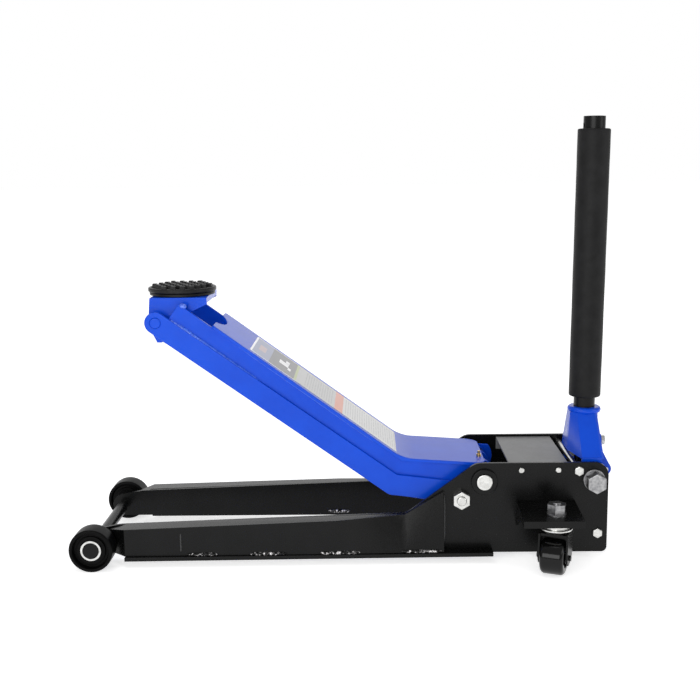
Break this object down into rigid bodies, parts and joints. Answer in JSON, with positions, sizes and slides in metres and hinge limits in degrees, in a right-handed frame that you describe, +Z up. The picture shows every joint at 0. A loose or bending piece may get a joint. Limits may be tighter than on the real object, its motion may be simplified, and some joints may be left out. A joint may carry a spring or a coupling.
{
  "type": "trolley jack",
  "caption": "Low-profile hydraulic floor jack on wheels, with a bent lifting arm, a levelled round saddle and a pumping handle.",
  "frame": {"origin": "middle of the bounding box in plan, on the floor under the wheels", "axes": "+Z up, -X towards the saddle and front wheels, +X towards the handle, -Y and +Y to the two sides"},
  "size_m": [0.806, 0.3466, 0.6456],
  "materials": {
    "black_paint": "gloss",
    "blue_paint": "gloss",
    "cover_grey": "satin",
    "zinc_plate": "satin",
    "ground_steel": "ground",
    "spring_steel": "oiled",
    "brass": "satin",
    "saddle_rubber": "matt",
    "handle_foam": "matt",
    "tube_paint": "satin",
    "wheel_paint": "satin",
    "wheel_nylon": "gloss"
  },
  "bodies": {
    "frame": {"side_plate_left": "black_paint", "side_plate_right": "black_paint", "rails": "black_paint", "base_strips": "black_paint", "wheel_stubs": "black_paint", "front_cross_rod": "black_paint", "wheel_rings": "zinc_plate", "lift_shaft": "zinc_plate", "pivot_collars": "black_paint", "guide_bolts": "zinc_plate", "guide_nuts": "zinc_plate", "cover_plate": "cover_grey", "cover_screws": "zinc_plate", "tie_rod": "zinc_plate", "rear_cross_bar": "black_paint", "rear_bar_bolts": "zinc_plate", "cradle_plate": "black_paint", "caster_brackets": "black_paint", "caster_races": "zinc_plate", "caster_nuts": "zinc_plate", "pump_block": "black_paint", "reservoir": "black_paint", "hydraulic_cylinder": "ground_steel", "cylinder_nut": "black_paint", "filler_plug": "zinc_plate", "gland_nuts": "zinc_plate", "link_anchor_lugs": "black_paint", "socket_bolts": "zinc_plate", "socket_washers": "zinc_plate", "return_springs": "spring_steel", "plunger_springs": "spring_steel"},
    "lift_arm": {"arm_side_plates": "blue_paint", "arm_doublers": "blue_paint", "arm_top_plate": "blue_paint", "arm_bosses": "blue_paint", "drive_lugs": "blue_paint", "drive_pin": "zinc_plate", "tip_pin": "zinc_plate", "grease_nipple": "brass"},
    "saddle_bracket": {"saddle_bracket": "blue_paint"},
    "levelling_links": {"link_rods": "ground_steel"},
    "saddle": {"saddle": "zinc_plate", "saddle_pad": "saddle_rubber"},
    "ram": {"ram": "ground_steel", "ram_block": "ground_steel"},
    "handle_socket": {"handle_socket": "blue_paint", "roller_pin": "zinc_plate", "pump_rollers": "zinc_plate", "clamp_bolt": "zinc_plate"},
    "handle": {"handle_tube": "tube_paint", "handle_driver": "zinc_plate", "foam_sleeve": "handle_foam"},
    "release_spindle": {"release_spindle": "zinc_plate"},
    "pump_plungers": {"pump_plungers": "ground_steel"},
    "front_wheel_left": {"front_wheel_left": "wheel_paint"},
    "front_wheel_right": {"front_wheel_right": "wheel_paint"},
    "caster_fork_left": {"caster_fork_left": "black_paint"},
    "caster_fork_right": {"caster_fork_right": "black_paint"},
    "caster_wheel_left": {"caster_wheel_left": "wheel_nylon"},
    "caster_wheel_right": {"caster_wheel_right": "wheel_nylon"}
  },
  "joints": [
    {"name": "arm_lift", "type": "hinge", "parent": "frame", "child": "lift_arm", "pos_m": [0.204, 0, 0.118], "axis": [0, 1, 0], "range_deg": [-34.9, 13.1]},
    {"name": "saddle_level", "type": "hinge", "parent": "lift_arm", "child": "saddle_bracket", "pos_m": [-0.27521, 0, 0.35588], "axis": [0, 1, 0], "range_deg": [-13.1, 34.9]},
    {"name": "saddle_swivel", "type": "hinge", "parent": "saddle_bracket", "child": "saddle", "pos_m": [-0.24521, 0, 0.39088], "axis": [0, 0, 1], "continuous": true},
    {"name": "link_swing", "type": "hinge", "parent": "frame", "child": "levelling_links", "pos_m": [0.207, 0, 0.095], "axis": [0, 1, 0], "range_deg": [-34.9, 13.1]},
    {"name": "ram_slide", "type": "slide", "parent": "frame", "child": "ram", "axis": [-1, 0, 0], "range_m": [-0.0355, 0.01333], "deforming": ["return_springs"]},
    {"name": "handle_swing", "type": "hinge", "parent": "frame", "child": "handle_socket", "pos_m": [0.3645, 0, 0.12], "axis": [0, 1, 0], "range_deg": [0, 60]},
    {"name": "handle_twist", "type": "hinge", "parent": "handle_socket", "child": "handle", "pos_m": [0.3645, 0, 0.12], "axis": [0.0096, 0, 1], "range_deg": [0, 180]},
    {"name": "release_turn", "type": "hinge", "parent": "frame", "child": "release_spindle", "pos_m": [0.3645, 0, 0.12], "axis": [0.5, 0, 0.866], "range_deg": [0, 180]},
    {"name": "plunger_slide", "type": "slide", "parent": "frame", "child": "pump_plungers", "axis": [-0.5, 0, -0.866], "range_m": [0, 0.02851], "deforming": ["plunger_springs"]},
    {"name": "front_wheel_left_roll", "type": "hinge", "parent": "frame", "child": "front_wheel_left", "pos_m": [-0.371, -0.118, 0.032], "axis": [0, 1, 0], "continuous": true},
    {"name": "front_wheel_right_roll", "type": "hinge", "parent": "frame", "child": "front_wheel_right", "pos_m": [-0.371, 0.118, 0.032], "axis": [0, 1, 0], "continuous": true},
    {"name": "caster_left_swivel", "type": "hinge", "parent": "frame", "child": "caster_fork_left", "pos_m": [0.3015, -0.134, 0.06], "axis": [0, 0, 1], "continuous": true},
    {"name": "caster_right_swivel", "type": "hinge", "parent": "frame", "child": "caster_fork_right", "pos_m": [0.3015, 0.134, 0.06], "axis": [0, 0, 1], "continuous": true},
    {"name": "caster_left_roll", "type": "hinge", "parent": "caster_fork_left", "child": "caster_wheel_left", "pos_m": [0.29701, -0.14513, 0.0255], "axis": [0.9272, -0.3746, 0], "continuous": true},
    {"name": "caster_right_roll", "type": "hinge", "parent": "caster_fork_right", "child": "caster_wheel_right", "pos_m": [0.29701, 0.14513, 0.0255], "axis": [0.9272, 0.3746, 0], "continuous": true}
  ],
  "couplings": [
    {"joint": "saddle_level", "follows": "arm_lift", "ratio": -1},
    {"joint": "link_swing", "follows": "arm_lift", "ratio": 1},
    {"joint": "ram_slide", "follows": "arm_lift", "m_per_rad": 0.058261},
    {"joint": "release_turn", "follows": "handle_twist", "ratio": 1},
    {"joint": "plunger_slide", "follows": "handle_swing", "m_per_rad": 0.027216}
  ]
}
